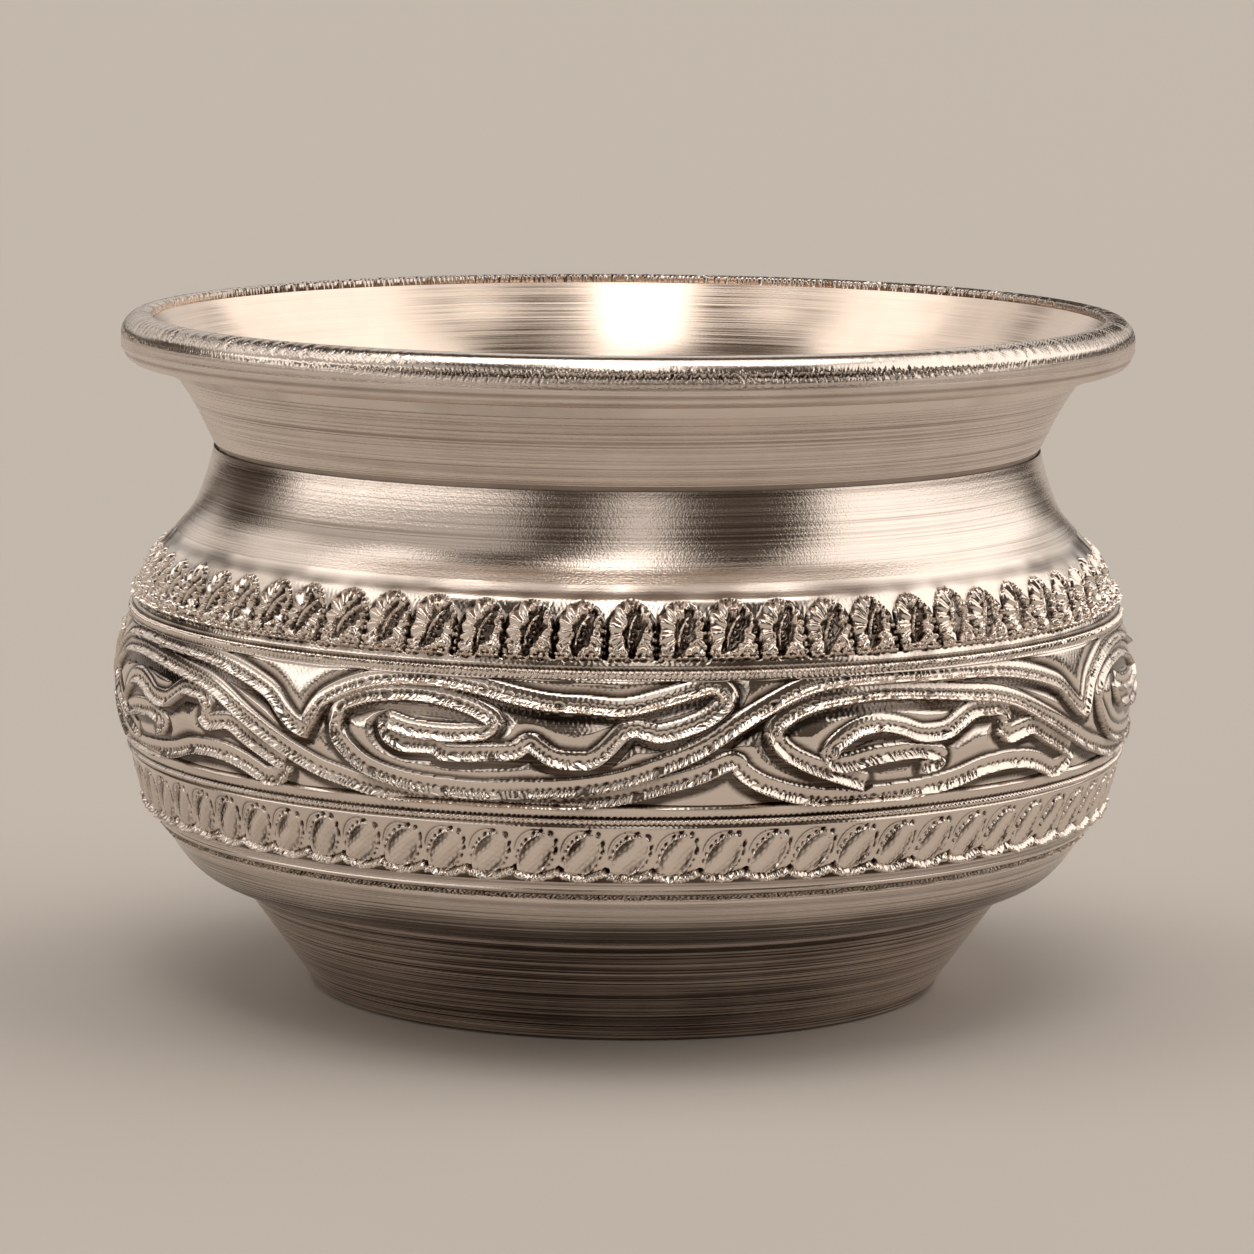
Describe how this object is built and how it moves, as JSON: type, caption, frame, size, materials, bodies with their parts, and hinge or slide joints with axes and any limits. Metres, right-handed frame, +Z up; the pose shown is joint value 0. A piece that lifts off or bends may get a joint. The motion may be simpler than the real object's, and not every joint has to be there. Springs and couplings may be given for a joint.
{
  "type": "kumkum bowl",
  "caption": "Small round-bellied footed bowl for kumkum powder, soldered up from turned and chased sheet, with a flared collar and a heavy rim wire.",
  "frame": {"origin": "middle of the flat underside of the foot", "axes": "+Z up along the bowl's axis of revolution; the side that the picture shows faces -Y"},
  "size_m": [0.0602, 0.0602, 0.0401],
  "materials": {
    "satin": "white metal, brushed round the axis to a satin",
    "chased": "white metal, chased and polished, dark in the recesses",
    "bright_cut": "white metal, bright-cut",
    "solder": "dull granular solder"
  },
  "bodies": {
    "root": {"foot_pan": "satin", "foot_solder": "solder", "base_dish": "satin", "belly_solder": "solder", "belly_shell": "chased", "waist_solder": "solder", "mouth_collar": "satin", "rim_solder": "solder", "rim_wire": "bright_cut"}
  },
  "joints": []
}
